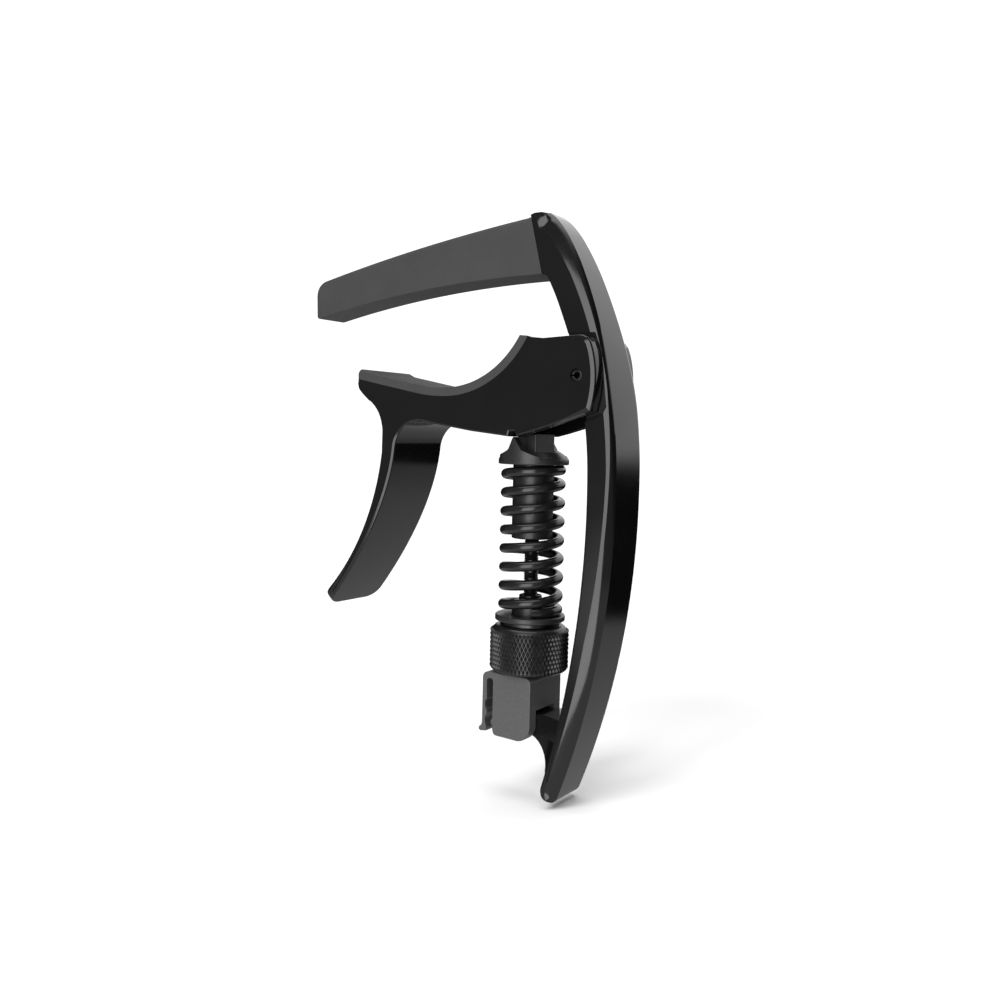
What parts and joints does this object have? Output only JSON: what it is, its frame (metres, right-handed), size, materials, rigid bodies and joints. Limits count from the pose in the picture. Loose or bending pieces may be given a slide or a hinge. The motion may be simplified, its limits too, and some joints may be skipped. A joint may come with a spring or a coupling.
{
  "type": "guitar capo",
  "caption": "Spring-loaded trigger capo: bowed frame with a sleeved arm, padded pivoting lever, coil-spring strut with a knurled tension wheel and a pick-holding foot bracket.",
  "frame": {"origin": "middle of the sleeve's arched underside, where it presses the strings, on the plane of symmetry", "axes": "+Z from the lever's pad towards the arm, +X from the arm's free end towards the spine, Y across the capo"},
  "size_m": [0.0767, 0.0164, 0.1145],
  "materials": {
    "cast_black": "gloss black over die-cast aluminium",
    "grey_rubber": "matt dark grey",
    "filled_nylon": "fine-grained glass-filled nylon",
    "grained_grey": "fine-grained dark grey",
    "black_steel": "satin black oxide steel",
    "black_wheel": "satin black anodised, diamond knurl",
    "steel": "plain",
    "bearing_bronze": "plain",
    "washer_nylon": "smooth"
  },
  "bodies": {
    "frame": {"frame_casting": "cast_black", "arm_sleeve": "grey_rubber", "pivot_bush": "bearing_bronze"},
    "lever": {"lever_casting": "cast_black", "lever_pad": "grey_rubber", "pivot_pin": "black_steel", "hub_washers": "washer_nylon"},
    "strut": {"pick_bracket": "grained_grey", "tension_rod": "black_steel", "compression_spring": "black_steel"},
    "seat": {"spring_seat": "filled_nylon", "thrust_washer": "steel"},
    "wheel": {"tension_wheel": "black_wheel", "wheel_insert": "black_steel"},
    "yoke": {"spring_yoke": "filled_nylon"}
  },
  "joints": [
    {"name": "lever_open", "type": "hinge", "parent": "frame", "child": "lever", "pos_m": [0.0395, 0, -0.0194], "axis": [0, -1, 0], "range_deg": [0, 18], "stiffness_Nm_per_rad": 1.5, "springref_deg": -40.11},
    {"name": "strut_lean", "type": "hinge", "parent": "frame", "child": "strut", "pos_m": [0.0239, 0, -0.087], "axis": [0, 1, 0], "range_deg": [0, 4.8]},
    {"name": "yoke_slide", "type": "slide", "parent": "strut", "child": "yoke", "axis": [-0.0282, 0, -0.9996], "range_m": [0, 0.0036], "deforming": ["compression_spring"]},
    {"name": "seat_rise", "type": "slide", "parent": "strut", "child": "seat", "axis": [0.0282, 0, 0.9996], "range_m": [0, 0.003]},
    {"name": "wheel_turn", "type": "hinge", "parent": "seat", "child": "wheel", "pos_m": [0.0239, 0, -0.087], "axis": [0.0282, 0, 0.9996], "range_deg": [0, 2160]}
  ],
  "couplings": [
    {"joint": "strut_lean", "follows": "lever_open", "ratio": 0.24677},
    {"joint": "yoke_slide", "follows": "lever_open", "m_per_rad": 0.011213},
    {"joint": "wheel_turn", "follows": "seat_rise", "rad_per_m": 12566}
  ]
}
